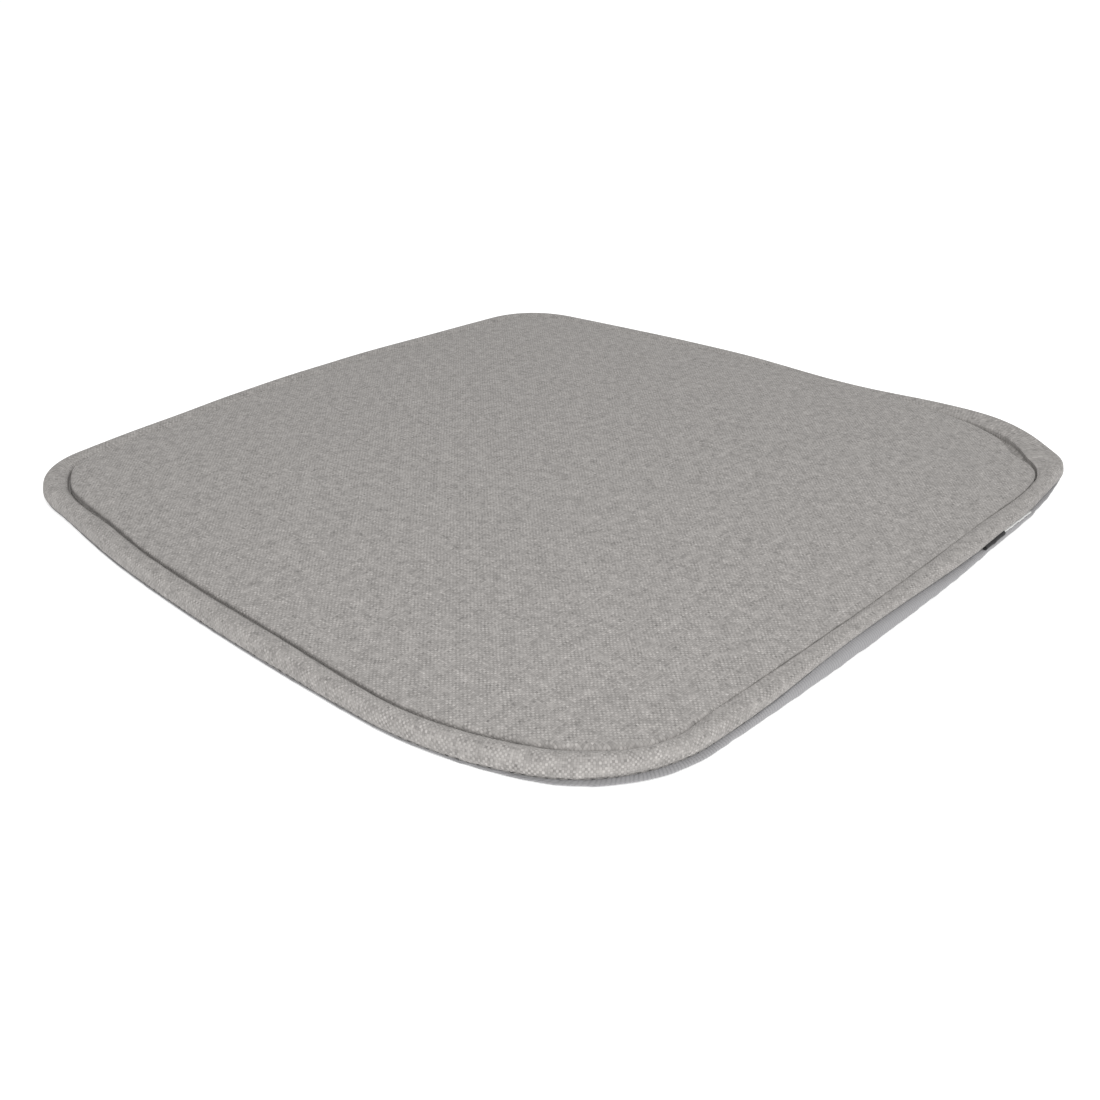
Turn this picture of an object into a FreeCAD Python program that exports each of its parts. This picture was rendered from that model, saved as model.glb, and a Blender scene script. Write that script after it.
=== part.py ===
# Chair seat pad: a thin padded cushion with a crowned centre panel, a rolled border band,
# a removable cover with a concealed zip in its front seam, and two blank sewn-in labels.
# Millimetres. +Z up, origin on the underside at the middle of the pad, front edge towards -Y.
import FreeCAD, Part
import math
import os
import Sketcher
from FreeCAD import Rotation, Vector

doc = FreeCAD.newDocument("seat_pad")

# ---------------------------------------------------------------- driving dimensions
SIZES = {
    # plan shape: nearly straight front, bulging sides and back
    "pad_width": 460.0, "pad_depth": 447.0, "widest_forward": 100.0,
    "front_edge_radius": 3000.0, "back_edge_radius": 1150.0,
    "side_front_radius": 200.0, "side_rear_radius": 1900.0,
    "front_corner_radius": 71.0, "back_corner_radius": 51.0,
    # layers and heights
    "cloth": 1.0, "gap": 0.3,
    "rim_width": 13.6, "rim_height": 11.4, "rim_outer_round": 4.3, "rim_inner_round": 3.0,
    "groove_floor": 7.6, "groove_gap": 0.8,
    "panel_edge_height": 12.0, "panel_edge_drop": 2.0, "panel_edge_in": 2.0, "crown_height": 18.0,
    "foam_height": 6.2, "wadding": 3.0, "bottom_round": 2.0,
    # lower seam: low all round, rising in a shallow arc along the front edge
    "seam_height": 2.6, "seam_rise": 3.6, "seam_half": 170.0, "seam_centre": -30.0,
    "seam_gap": 0.6, "thread": 0.4,
    # concealed zip behind the front seam
    "zip_length": 200.0, "zip_centre": -30.0, "zip_height": 6.0, "zip_setback": 9.0,
    "coil_height": 1.9, "coil_depth": 1.6, "chain_gap": 0.9, "post": 0.5, "tape": 0.6, "tape_fold": 2.6,
    "slider_length": 8.0, "slider_height": 6.2, "slider_wall": 0.8, "slider_room": 0.25,
    "lug_length": 3.6, "lug_height": 1.6, "lug_out": 1.6, "lug_wall": 0.6,
    "stop_length": 2.0, "zip_room": 1.5,
    # labels sewn into the front seam
    "tag_width": 21.0, "tag_centre": 81.0, "tag_out": 1.8, "tag_sheet": 0.7, "tag_tail": 0.9, "tail": 0.3,
    "label_width": 36.0, "label_centre": 110.5, "label_sheet": 0.4, "label_drop": 2.4,
}

dim = doc.addObject("Spreadsheet::Sheet", "dim")
for row, (alias, value) in enumerate(SIZES.items(), start=1):
    dim.set(f"A{row}", alias)
    dim.set(f"B{row}", str(value))
    dim.setAlias(f"B{row}", alias)
doc.recompute()

START, END, CENTRE = 1, 2, 3
ORIGIN, Y_AXIS = -1, -2
UPWARDS, INWARDS = Vector(0, 0, 1), Vector(0, 1, 0)
HALF_DEPTH = "dim.pad_depth / 2"


def mm(expression):
    """The value of an expression over the sheet, in mm."""
    return float(dim.evalExpression(expression.replace("dim.", "")))


def plane(body, role):
    """One of a body's own origin planes."""
    return next(f for f in body.Origin.OriginFeatures if f.Role == role)


def new_sketch(body, name, role, offset="0"):
    """An empty sketch on a body's origin plane, moved along its normal by an expression."""
    sketch = body.newObject("Sketcher::SketchObject", name)
    sketch.AttachmentSupport = (plane(body, role), "")
    sketch.MapMode = "FlatFace"
    sketch.setExpression("AttachmentOffset.Base.z", offset)
    return sketch


def bind(sketch, constraint, label, expression):
    """Adds a dimension to a sketch and ties it to the sheet."""
    index = sketch.addConstraint(constraint)
    sketch.renameConstraint(index, label)
    sketch.setExpression(f"Constraints.{label}", expression)


# ---------------------------------------------------------------- the plan outline
def internal_fillet(centre_a, radius_a, centre_b, radius_b, radius, near):
    """Centre of a circle that touches two larger circles from inside, and its two touch points."""
    reach_a, reach_b = radius_a - radius, radius_b - radius
    across = centre_b - centre_a
    along = (reach_a ** 2 - reach_b ** 2 + across.Length ** 2) / (2 * across.Length)
    aside = math.sqrt(reach_a ** 2 - along ** 2)
    unit = Vector(across).normalize()
    square = Vector(-unit.y, unit.x, 0)
    choices = [centre_a + unit * along + square * aside * side for side in (1, -1)]
    centre = min(choices, key=lambda c: (c - near).Length)
    touch_a = centre_a + (centre - centre_a).normalize() * radius_a
    touch_b = centre_b + (centre - centre_b).normalize() * radius_b
    return centre, touch_a, touch_b


def mirrored(point):
    return Vector(-point.x, point.y, 0)


def outline_arcs(inset, scale):
    """The ten arcs of the outline, anticlockwise from the front: (centre, radius, start, end)."""
    def length(expression):
        return mm(f"(dim.{expression} - ({inset})) * ({scale})")
    half, front_back = length("pad_width / 2"), length("pad_depth / 2")
    widest = -mm(f"dim.widest_forward * ({scale})")
    front, back = length("front_edge_radius"), length("back_edge_radius")
    side, rear = length("side_front_radius"), length("side_rear_radius")
    centre_front, centre_back = Vector(0, front - front_back, 0), Vector(0, front_back - back, 0)
    centre_side, centre_rear = Vector(half - side, widest, 0), Vector(half - rear, widest, 0)
    corner, front_touch, side_touch = internal_fillet(
        centre_front, front, centre_side, side, length("front_corner_radius"),
        Vector(half, -front_back, 0))
    back_corner, rear_touch, back_touch = internal_fillet(
        centre_rear, rear, centre_back, back, length("back_corner_radius"),
        Vector(half, front_back, 0))
    widest_point = Vector(half, widest, 0)
    right = [
        (corner, length("front_corner_radius"), front_touch, side_touch),
        (centre_side, side, side_touch, widest_point),
        (centre_rear, rear, widest_point, rear_touch),
        (back_corner, length("back_corner_radius"), rear_touch, back_touch),
    ]
    left = [(mirrored(c), r, mirrored(end), mirrored(start)) for c, r, start, end in reversed(right)]
    front_arc = (centre_front, front, mirrored(front_touch), front_touch)
    back_arc = (centre_back, back, back_touch, mirrored(back_touch))
    return [front_arc, *right, back_arc, *left]


RADII = ["front_edge_radius", "front_corner_radius", "side_front_radius",
         "side_rear_radius", "back_corner_radius", "back_edge_radius"]


def outline_sketch(body, name, height, inset="0", scale="1"):
    """The pad's outline at a height, moved inwards by `inset` and scaled about the middle."""
    sketch = new_sketch(body, name, "XY_Plane", height)
    for centre, radius, start, end in outline_arcs(inset, scale):
        angles = [math.atan2(p.y - centre.y, p.x - centre.x) for p in (start, end)]
        sketch.addGeometry(Part.ArcOfCircle(Part.Circle(centre, UPWARDS, radius), *angles))
    front, side, rear, back, left_rear, left_side = 0, 2, 3, 5, 7, 8

    for arc in range(10):
        sketch.addConstraint(Sketcher.Constraint("Tangent", arc, END, (arc + 1) % 10, START))
    for arc, alias in enumerate(RADII):
        start_value = sketch.Geometry[arc].Radius
        bind(sketch, Sketcher.Constraint("Radius", arc, start_value), alias,
             f"(dim.{alias} - ({inset})) * ({scale})")
    for arc, twin in ((1, 9), (side, left_side), (rear, left_rear), (4, 6)):
        sketch.addConstraint(Sketcher.Constraint("Equal", arc, twin))
    for arc in (front, back):
        sketch.addConstraint(Sketcher.Constraint("PointOnObject", arc, CENTRE, Y_AXIS))
    half_depth = f"(dim.pad_depth / 2 - ({inset})) * ({scale})"
    front_rise = sketch.Geometry[front].Center.y
    back_drop = -sketch.Geometry[back].Center.y
    bind(sketch, Sketcher.Constraint("DistanceY", ORIGIN, 1, front, CENTRE, front_rise), "front_centre",
         f"(dim.front_edge_radius - ({inset})) * ({scale}) - {half_depth}")
    bind(sketch, Sketcher.Constraint("DistanceY", back, CENTRE, ORIGIN, 1, back_drop), "back_centre",
         f"(dim.back_edge_radius - ({inset})) * ({scale}) - {half_depth}")
    for arc, label, points in ((side, "right", (ORIGIN, 1, side, END)),
                               (left_rear, "left", (left_rear, END, ORIGIN, 1))):
        widest = sketch.getPoint(arc, END)
        bind(sketch, Sketcher.Constraint("DistanceX", *points, abs(widest.x)), f"{label}_half_width",
             f"(dim.pad_width / 2 - ({inset})) * ({scale})")
        bind(sketch, Sketcher.Constraint("DistanceY", arc, END, ORIGIN, 1, -widest.y), f"{label}_forward",
             f"dim.widest_forward * ({scale})")
        sketch.addConstraint(Sketcher.Constraint("Horizontal", arc, CENTRE, arc, END))
    return sketch


# ---------------------------------------------------------------- shapes shared by the pieces
ABOVE = "40"          # clear over the whole pad
FAR = "300"           # clear beyond the pad's sides


def outline_edges(shape, height, inset):
    """Names of the edges of an inset outline that lie at a height."""
    radii = [mm(f"dim.{alias} - ({inset})") for alias in RADII]
    names = []
    for index, edge in enumerate(shape.Edges, start=1):
        box = edge.BoundBox
        level = abs(box.ZMin - mm(height)) < 1e-4 and abs(box.ZMax - mm(height)) < 1e-4
        if level and any(abs(edge.Curve.Radius - radius) < 1e-3 for radius in radii):
            names.append(f"Edge{index}")
    return names


def add_pad(body, sketch, name, length, **settings):
    pad = body.newObject("PartDesign::Pad", name)
    pad.Profile = sketch
    pad.setExpression("Length", length)
    for key, value in settings.items():
        setattr(pad, key, value)
    doc.recompute()
    return pad


def cut_through(body, sketch, name):
    """Cuts a sketch right through a body, downwards, and makes sure that it did cut."""
    before = body.Tip.Shape.Volume
    pocket = body.newObject("PartDesign::Pocket", name)
    pocket.Profile = sketch
    pocket.Type = "ThroughAll"
    doc.recompute()
    if not pocket.Shape.Volume < before * 0.999:
        raise RuntimeError(f"{name} cut nothing")
    return pocket


def round_outline(body, name, height, inset, radius):
    """Rounds the edge of an inset outline at a height."""
    base = body.Tip
    fillet = body.newObject("PartDesign::Fillet", name)
    fillet.Base = (base, outline_edges(base.Shape, height, inset))
    fillet.setExpression("Radius", radius)
    doc.recompute()
    return fillet


def slab(name, inset, bottom, top, bottom_round=None):
    """A plate of the pad's outline between two heights."""
    body = doc.addObject("PartDesign::Body", name)
    sketch = outline_sketch(body, f"{name}_outline", bottom, inset)
    add_pad(body, sketch, f"{name}_pad", f"{top} - ({bottom})")
    if bottom_round:
        round_outline(body, f"{name}_bottom_round", bottom, inset, bottom_round)
    return body


def ring(name, outer, inner, bottom, top, outer_round=None, inner_round=None):
    """A closed band that follows the outline, between two insets and two heights."""
    body = slab(name, outer, bottom, top)
    cut_through(body, outline_sketch(body, f"{name}_middle", top, inner), f"{name}_hole")
    if outer_round:
        round_outline(body, f"{name}_outer_round", top, outer, outer_round)
        round_outline(body, f"{name}_inner_round", top, inner, inner_round)
    return body


def crowned(name, inset, bottom, lower, drop="dim.panel_edge_drop"):
    """A pillow: the outline stands up to its edge height, then closes over in flattening steps.

    `lower` takes the whole crown down, for a layer that lies under another one."""
    edge, crown = f"dim.panel_edge_height - ({lower})", f"dim.crown_height - ({lower})"
    body = slab(name, inset, bottom, f"{edge} - {drop}")
    rise = f"({crown} - ({edge}))"
    steps = [
        (f"{edge} - {drop}", inset, "1"),
        (edge, f"{inset} + dim.panel_edge_in", "1"),
        (f"{edge} + {rise} * 0.45", inset, "0.86"),
        (f"{edge} + {rise} * 0.85", inset, "0.60"),
        (crown, inset, "0.30"),
    ]
    sketches = [outline_sketch(body, f"{name}_level_{number}", height, step_inset, scale)
                for number, (height, step_inset, scale) in enumerate(steps)]
    loft = body.newObject("PartDesign::AdditiveLoft", f"{name}_crown")
    loft.Profile = sketches[0]
    loft.Sections = sketches[1:]
    loft.Ruled = True
    doc.recompute()
    return body


def block(name, corner, extent):
    """A box from its low corner and its extent, both as expressions along X, Y and Z."""
    box = doc.addObject("Part::Box", name)
    for axis, expression in zip("xyz", corner):
        box.setExpression(f"Placement.Base.{axis}", expression)
    for side, expression in zip(("Length", "Width", "Height"), extent):
        box.setExpression(side, expression)
    return box


def fused(name, shapes):
    fuse = doc.addObject("Part::MultiFuse", name)
    fuse.Shapes = shapes
    return fuse


def cut(name, base, tool):
    result = doc.addObject("Part::Cut", name)
    result.Base, result.Tool = base, tool
    return result


def fix_point(sketch, side, end, place):
    """Ties one end of a sketched side to a pair of expressions for its sketch X and Y."""
    for axis, expression in zip("XY", place):
        value = mm(expression)
        if value >= 0:
            constraint = Sketcher.Constraint(f"Distance{axis}", ORIGIN, 1, side, end, value)
        else:
            constraint = Sketcher.Constraint(f"Distance{axis}", side, end, ORIGIN, 1, -value)
            expression = f"-({expression})"
        bind(sketch, constraint, f"side_{side}_end_{end}_{axis.lower()}", expression)


def polygon(sketch, corners, arc_radius=None):
    """A closed outline through corners given as expressions; its closing side may be an arc."""
    points = [Vector(mm(x), mm(y), 0) for x, y in corners]
    for start, finish in zip(points, points[1:]):
        sketch.addGeometry(Part.LineSegment(start, finish))
    closing = len(points) - 1
    if arc_radius:
        radius, half_chord = mm(arc_radius), (points[0] - points[-1]).Length / 2
        sagitta = radius - math.sqrt(radius ** 2 - half_chord ** 2)
        crest = (points[0] + points[-1]) / 2 + Vector(0, sagitta, 0)
        sketch.addGeometry(Part.Arc(points[-1], crest, points[0]))
        bind(sketch, Sketcher.Constraint("Radius", closing, radius), "arc_radius", arc_radius)
    else:
        sketch.addGeometry(Part.LineSegment(points[-1], points[0]))
    ends = [START, END]
    if sketch.getPoint(closing, START).distanceToPoint(points[-1]) > 1e-6:
        ends.reverse()
    for side in range(closing - 1):
        sketch.addConstraint(Sketcher.Constraint("Coincident", side, END, side + 1, START))
    sketch.addConstraint(Sketcher.Constraint("Coincident", closing - 1, END, closing, ends[0]))
    sketch.addConstraint(Sketcher.Constraint("Coincident", closing, ends[1], 0, START))
    for side, corner in enumerate(corners[:-1]):
        fix_point(sketch, side, START, corner)
    fix_point(sketch, closing - 1, END, corners[-1])
    return sketch


def seam_cutter(name, lift, reach):
    """The space over (reach up) or under (reach down) the lower seam, raised by `lift`.

    The seam is level round the sides and the back, and a shallow arc along the front half."""
    body = doc.addObject("PartDesign::Body", name)
    low = f"dim.seam_height + {lift}"
    arc_left, arc_right = "dim.seam_centre - dim.seam_half", "dim.seam_centre + dim.seam_half"
    arc_radius = "(dim.seam_half ^ 2 + dim.seam_rise ^ 2) / (2 * dim.seam_rise)"
    front = new_sketch(body, f"{name}_front_profile", "XZ_Plane")
    polygon(front, [(arc_right, low), (FAR, low), (FAR, reach), (f"-{FAR}", reach),
                    (f"-{FAR}", low), (arc_left, low)], arc_radius)
    add_pad(body, front, f"{name}_front", FAR)
    back = new_sketch(body, f"{name}_back_profile", "XZ_Plane")
    polygon(back, [(f"-{FAR}", low), (FAR, low), (FAR, reach), (f"-{FAR}", reach)])
    add_pad(body, back, f"{name}_back", FAR, Reversed=True)
    return body


def bar(name, centre, length, corners):
    """A straight bar along X: its section's corners are (Y, Z) expressions."""
    body = doc.addObject("PartDesign::Body", name)
    section = polygon(new_sketch(body, f"{name}_section", "YZ_Plane", centre), corners)
    add_pad(body, section, f"{name}_pad", length, Midplane=True)
    return body


# ---------------------------------------------------------------- cloth cover
UNDER_CLOTH = "dim.cloth + dim.gap"
PANEL_INSET = "dim.rim_width + dim.groove_gap"
over_seam = seam_cutter("over_seam", "0", ABOVE)
under_seam = seam_cutter("under_seam", "dim.seam_gap", "-10")


def make_bottom_panel():
    """The underside cloth: a shallow tray whose edge turns up to the lower seam."""
    outside = slab("bottom_outside", "0", "0", "dim.rim_height", bottom_round="dim.bottom_round")
    inside = slab("bottom_inside", "dim.cloth", "dim.cloth", "dim.rim_height + dim.cloth")
    return cut("bottom_panel", outside, fused("bottom_waste", [inside, over_seam]))


def make_border_band():
    """The rim strip: up from the lower seam, over the rounded rim, down into the groove."""
    outside = ring("band_outside", "0", "dim.rim_width", "0", "dim.rim_height",
                   "dim.rim_outer_round", "dim.rim_inner_round")
    hollow = ring("band_hollow", "dim.cloth", "dim.rim_width - dim.cloth", "dim.seam_height",
                  "dim.rim_height - dim.cloth",
                  "dim.rim_outer_round - dim.cloth", "dim.rim_inner_round - dim.cloth")
    below = slab("band_below", "dim.cloth", "-dim.cloth", "dim.groove_floor")
    return cut("border_band", outside, fused("band_waste", [hollow, below, under_seam]))


def make_top_panel():
    """The crowned centre cloth, its edge turned down into the groove."""
    outside = crowned("panel_outside", PANEL_INSET, "dim.groove_floor", "0")
    inside = crowned("panel_inside", f"{PANEL_INSET} + dim.cloth",
                     "dim.groove_floor - dim.cloth", "dim.cloth")
    return cut("top_panel", outside, inside)


# ---------------------------------------------------------------- filling
ZIP_Y = f"-{HALF_DEPTH} + dim.zip_setback"


def zip_pocket(name):
    """The room that the filling leaves for the zip behind the front seam."""
    length = "dim.zip_length + 2 * dim.zip_room"
    depth = "dim.zip_setback + dim.coil_depth / 2 + dim.slider_wall + dim.slider_room + dim.gap"
    return block(name, (f"dim.zip_centre - ({length}) / 2", f"-{HALF_DEPTH} - 1", "0"),
                 (length, f"{depth} + 1", "dim.rim_height"))


def foam_crown(name, spare):
    """The raised middle of the foam, or that grown by `spare` for the layer over it."""
    return crowned(name, f"{PANEL_INSET} + {UNDER_CLOTH} + dim.wadding - ({spare})", UNDER_CLOTH,
                   f"{UNDER_CLOTH} + dim.wadding - ({spare})", "dim.gap")


def make_foam_core():
    """The foam: a full-width slab, thicker under the centre panel."""
    plate = slab("foam_slab", UNDER_CLOTH, UNDER_CLOTH, "dim.foam_height")
    whole = fused("foam_whole", [plate, foam_crown("foam_middle", "0")])
    return cut("foam_core", whole, zip_pocket("foam_zip_pocket"))


def make_edge_wadding():
    """The soft roll that rounds the rim out, inside the border band."""
    roll = ring("edge_roll", UNDER_CLOTH, f"dim.rim_width - ({UNDER_CLOTH})",
                "dim.foam_height + dim.gap", f"dim.rim_height - ({UNDER_CLOTH})",
                f"dim.rim_outer_round - ({UNDER_CLOTH})", f"dim.rim_inner_round - ({UNDER_CLOTH})")
    return cut("edge_wadding", roll, zip_pocket("wadding_zip_pocket"))


def make_centre_wadding():
    """The soft sheet between the foam and the centre panel."""
    outside = crowned("wadding_outside", f"{PANEL_INSET} + {UNDER_CLOTH}",
                      "dim.foam_height + dim.gap", UNDER_CLOTH)
    return cut("centre_wadding", outside, foam_crown("wadding_hollow", "dim.gap"))


# ---------------------------------------------------------------- sewing threads
def make_groove_thread():
    """The row of stitches at the bottom of the groove, between the two cloths."""
    inset = "dim.rim_width + (dim.groove_gap - dim.thread) / 2"
    return ring("groove_seam_thread", inset, f"{inset} + dim.thread",
                "dim.groove_floor - dim.thread", "dim.groove_floor")


def make_lower_thread():
    """The row of stitches in the lower seam, where it is level: all round but the front."""
    bottom = "dim.seam_height + (dim.seam_gap - dim.thread) / 2"
    row_shape = ring("lower_row", "dim.thread", "2 * dim.thread", bottom, f"{bottom} + dim.thread")
    opening = block("lower_row_opening",
                    ("dim.seam_centre - dim.seam_half", f"-{HALF_DEPTH} - 1", "0"),
                    ("2 * dim.seam_half", "60", "dim.rim_height"))
    return cut("lower_seam_thread", row_shape, opening)


# ---------------------------------------------------------------- zip
HALF_TAPE = "dim.tape / 2"
CHAIN_LENGTH = "dim.zip_length - 2 * dim.stop_length"


def zip_section(corners):
    """Corners measured from the chain's centre line, (outwards, up), as section corners."""
    return [(f"{ZIP_Y} + ({y})", f"dim.zip_height + ({z})") for y, z in corners]


def make_tape(name, up):
    """One zip tape: along the chain, then folded towards the front cloth it is sewn to."""
    coil, fold = "dim.coil_height", "dim.slider_height / 2 + dim.gap"
    start, turn, top = f"{up} * {coil}", f"{up} * ({fold})", f"{up} * ({fold} + dim.tape)"
    corners = [(HALF_TAPE, start), (HALF_TAPE, top), ("-dim.tape_fold", top),
               ("-dim.tape_fold", turn), (f"-{HALF_TAPE}", turn), (f"-{HALF_TAPE}", start)]
    return bar(name, "dim.zip_centre", "dim.zip_length", zip_section(corners))


def make_coil(name, up):
    """One row of zip teeth as a plain strip."""
    half, start, top = "dim.coil_depth / 2", f"{up} * dim.chain_gap / 2", f"{up} * dim.coil_height"
    corners = [(half, start), (half, top), (f"-{half}", top), (f"-{half}", start)]
    return bar(name, "dim.zip_centre", CHAIN_LENGTH, zip_section(corners))


def make_stop(name, side):
    """The metal crimp at one end of the chain."""
    depth, height = "dim.coil_depth / 2 + dim.gap", "dim.coil_height + dim.gap"
    length = "dim.stop_length"
    body = doc.addObject("PartDesign::Body", name)
    centre = f"dim.zip_centre + {side} * (dim.zip_length - {length}) / 2"
    outer = zip_section([(depth, f"-({height})"), (depth, height),
                         (f"-({depth})", height), (f"-({depth})", f"-({height})")])
    section = polygon(new_sketch(body, f"{name}_section", "YZ_Plane", centre), outer)
    add_pad(body, section, f"{name}_pad", length, Midplane=True)
    return body


def make_slider():
    """The slider at the closed end: two plates with rims round the chain, a post and a lug."""
    room, wall = "dim.slider_room", "dim.slider_wall"
    centre = "dim.zip_centre + (dim.zip_length - dim.slider_length) / 2 - dim.stop_length - dim.gap"
    half_depth = f"dim.coil_depth / 2 + {room} + {wall}"
    half_height = "dim.slider_height / 2"
    channel_depth, channel_height = f"dim.coil_depth / 2 + {room}", f"dim.coil_height + {room}"
    slit = f"{HALF_TAPE} + {room}"
    low_x = f"{centre} - dim.slider_length / 2"

    def along(name, depth, height, longer="0"):
        return block(name, (f"{low_x} - ({longer})", f"{ZIP_Y} - ({depth})", f"dim.zip_height - ({height})"),
                     (f"dim.slider_length + 2 * ({longer})", f"2 * ({depth})", f"2 * ({height})"))

    shell = along("slider_shell", half_depth, half_height)
    lug = block("slider_lug", (f"{centre} - dim.lug_length / 2", f"{ZIP_Y} - ({half_depth}) - dim.lug_out",
                               "dim.zip_height - dim.lug_height / 2"),
                ("dim.lug_length", "dim.lug_out + dim.gap", "dim.lug_height"))
    eye = block("slider_lug_eye", (f"{centre} - dim.lug_length / 2 + dim.lug_wall",
                                   f"{ZIP_Y} - ({half_depth}) - dim.lug_out + dim.lug_wall",
                                   "dim.zip_height - dim.lug_height"),
                ("dim.lug_length - 2 * dim.lug_wall", "dim.lug_out - dim.lug_wall", "2 * dim.lug_height"))
    channel = along("slider_channel", channel_depth, channel_height, "1")
    tape_slit = along("slider_slit", slit, f"{half_height} + 1", "1")
    post = block("slider_post", (f"{low_x} + dim.slider_length - dim.slider_wall",
                                 f"{ZIP_Y} - ({channel_depth}) - dim.slider_wall / 2",
                                 "dim.zip_height - dim.post / 2"),
                 ("dim.slider_wall", f"2 * ({channel_depth}) + dim.slider_wall", "dim.post"))
    plates = cut("slider_plates", fused("slider_solid", [shell, lug]),
                 fused("slider_waste", [channel, tape_slit, eye]))
    return fused("zip_slider", [plates, post])


# ---------------------------------------------------------------- labels
def front_seam_place(shape, centre):
    """Lays a label, made at the origin with +Y inwards, in the front seam at its X."""
    shape.setExpression("Placement.Base.x", centre)
    shape.setExpression("Placement.Base.y",
                        f"-{HALF_DEPTH} + ({centre}) ^ 2 / (2 * dim.front_edge_radius)")
    from_crest = f"(({centre}) - dim.seam_centre)"
    shape.setExpression("Placement.Base.z",
                        "dim.seam_height + dim.seam_gap / 2 + dim.seam_rise"
                        f" * (1 - {from_crest} ^ 2 / dim.seam_half ^ 2)")
    slope = mm(f"2 * dim.seam_rise * {from_crest} / dim.seam_half ^ 2")
    sweep = mm(f"({centre}) / dim.front_edge_radius")
    shape.Placement.Rotation = (Rotation(UPWARDS, math.degrees(math.asin(sweep)))
                                * Rotation(INWARDS, math.degrees(math.atan(slope))))
    return shape


def make_name_tag():
    """A small folded tag: a loop of tape outside the seam, its two ends sewn in."""
    corners = [("dim.tag_tail", "-dim.tail / 2"), ("dim.tag_tail", "dim.tail / 2"),
               ("-dim.gap", "dim.tail / 2"), ("-dim.gap", "dim.tag_sheet"),
               ("-dim.tag_out", "dim.tag_sheet"), ("-dim.tag_out", "-dim.tag_sheet"),
               ("-dim.gap", "-dim.tag_sheet"), ("-dim.gap", "-dim.tail / 2")]
    return front_seam_place(bar("name_tag", "0", "dim.tag_width", corners), "dim.tag_centre")


def make_care_label():
    """A label sewn in by one end, hanging down the front of the lower lip."""
    outer, inner = "-dim.gap - dim.label_sheet", "-dim.gap"
    corners = [("dim.tag_tail", "-dim.tail / 2"), ("dim.tag_tail", "dim.tail / 2"),
               (outer, "dim.tail / 2"), (outer, "-dim.label_drop"), (inner, "-dim.label_drop"),
               (inner, "-dim.tail / 2")]
    return front_seam_place(bar("care_label", "0", "dim.label_width", corners), "dim.label_centre")


# ---------------------------------------------------------------- build, check, write
pieces = [
    make_bottom_panel(), make_border_band(), make_top_panel(),
    make_foam_core(), make_edge_wadding(), make_centre_wadding(),
    make_groove_thread(), make_lower_thread(),
    make_tape("zip_tape_upper", "1"), make_tape("zip_tape_lower", "-1"),
    make_coil("zip_coil_upper", "1"), make_coil("zip_coil_lower", "-1"),
    make_slider(), make_stop("zip_stop_closed_end", "1"), make_stop("zip_stop_open_end", "-1"),
    make_name_tag(), make_care_label(),
]
doc.recompute()

for thing in doc.Objects:
    if {"Invalid", "Error"} & set(thing.State):
        raise RuntimeError(f"{thing.Name} did not recompute: {thing.State}")
os.makedirs("parts", exist_ok=True)
for piece in pieces:
    shape = piece.Shape
    if shape.isNull() or not shape.isValid():
        raise RuntimeError(f"{piece.Label} has no valid shape")
    shape.exportStep(f"parts/{piece.Label}.step")
    box = shape.BoundBox
    print(f"{piece.Label:22s} {len(shape.Solids)} solid  {shape.Volume / 1000:9.3f} cm3"
          f"  z {box.ZMin:6.2f} to {box.ZMax:6.2f}")
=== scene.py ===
"""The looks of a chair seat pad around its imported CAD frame. Metres, +Z up, front edge towards -Y."""
import math

import bpy
import numpy as np
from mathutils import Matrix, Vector, noise


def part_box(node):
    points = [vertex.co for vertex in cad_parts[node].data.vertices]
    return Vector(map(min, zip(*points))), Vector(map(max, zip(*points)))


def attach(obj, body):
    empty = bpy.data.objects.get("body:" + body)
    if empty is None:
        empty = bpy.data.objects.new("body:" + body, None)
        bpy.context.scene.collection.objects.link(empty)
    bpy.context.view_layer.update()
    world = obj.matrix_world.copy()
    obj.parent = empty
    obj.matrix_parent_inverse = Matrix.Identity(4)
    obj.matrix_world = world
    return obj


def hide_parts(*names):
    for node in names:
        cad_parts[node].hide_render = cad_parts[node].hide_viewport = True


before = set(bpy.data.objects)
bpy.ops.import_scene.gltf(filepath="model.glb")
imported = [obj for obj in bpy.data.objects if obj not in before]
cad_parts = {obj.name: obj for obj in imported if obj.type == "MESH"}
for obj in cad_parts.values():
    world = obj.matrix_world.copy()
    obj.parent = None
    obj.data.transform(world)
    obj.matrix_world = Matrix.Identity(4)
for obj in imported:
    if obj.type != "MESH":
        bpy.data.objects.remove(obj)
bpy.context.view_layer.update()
MM = 0.001


# ---------------------------------------------------------------- the pad's outline
low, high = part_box("border_band")
HALF_WIDTH, HALF_DEPTH = (high.x - low.x) / 2, (high.y - low.y) / 2
WIDEST_Y = -100 * MM
FRONT_RADIUS, BACK_RADIUS = 3000 * MM, 1150 * MM
SIDE_FRONT_RADIUS, SIDE_REAR_RADIUS = 200 * MM, 1900 * MM
FRONT_CORNER, BACK_CORNER = 71 * MM, 51 * MM


def internal_fillet(centre_a, radius_a, centre_b, radius_b, radius, corner):
    """Centre of the circle that touches two larger circles from inside, the one nearer to a
    corner, and its touch points."""
    reach_a, reach_b = radius_a - radius, radius_b - radius
    across = centre_b - centre_a
    distance = np.hypot(*across)
    along = (reach_a ** 2 - reach_b ** 2 + distance ** 2) / (2 * distance)
    aside = math.sqrt(reach_a ** 2 - along ** 2)
    unit = across / distance
    square = np.array([-unit[1], unit[0]])
    choices = [centre_a + unit * along + square * aside * side for side in (1, -1)]
    centre = min(choices, key=lambda c: np.hypot(*(c - corner)))
    touches = [c + (centre - c) / np.hypot(*(centre - c)) * r
               for c, r in ((centre_a, radius_a), (centre_b, radius_b))]
    return centre, touches[0], touches[1]


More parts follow.
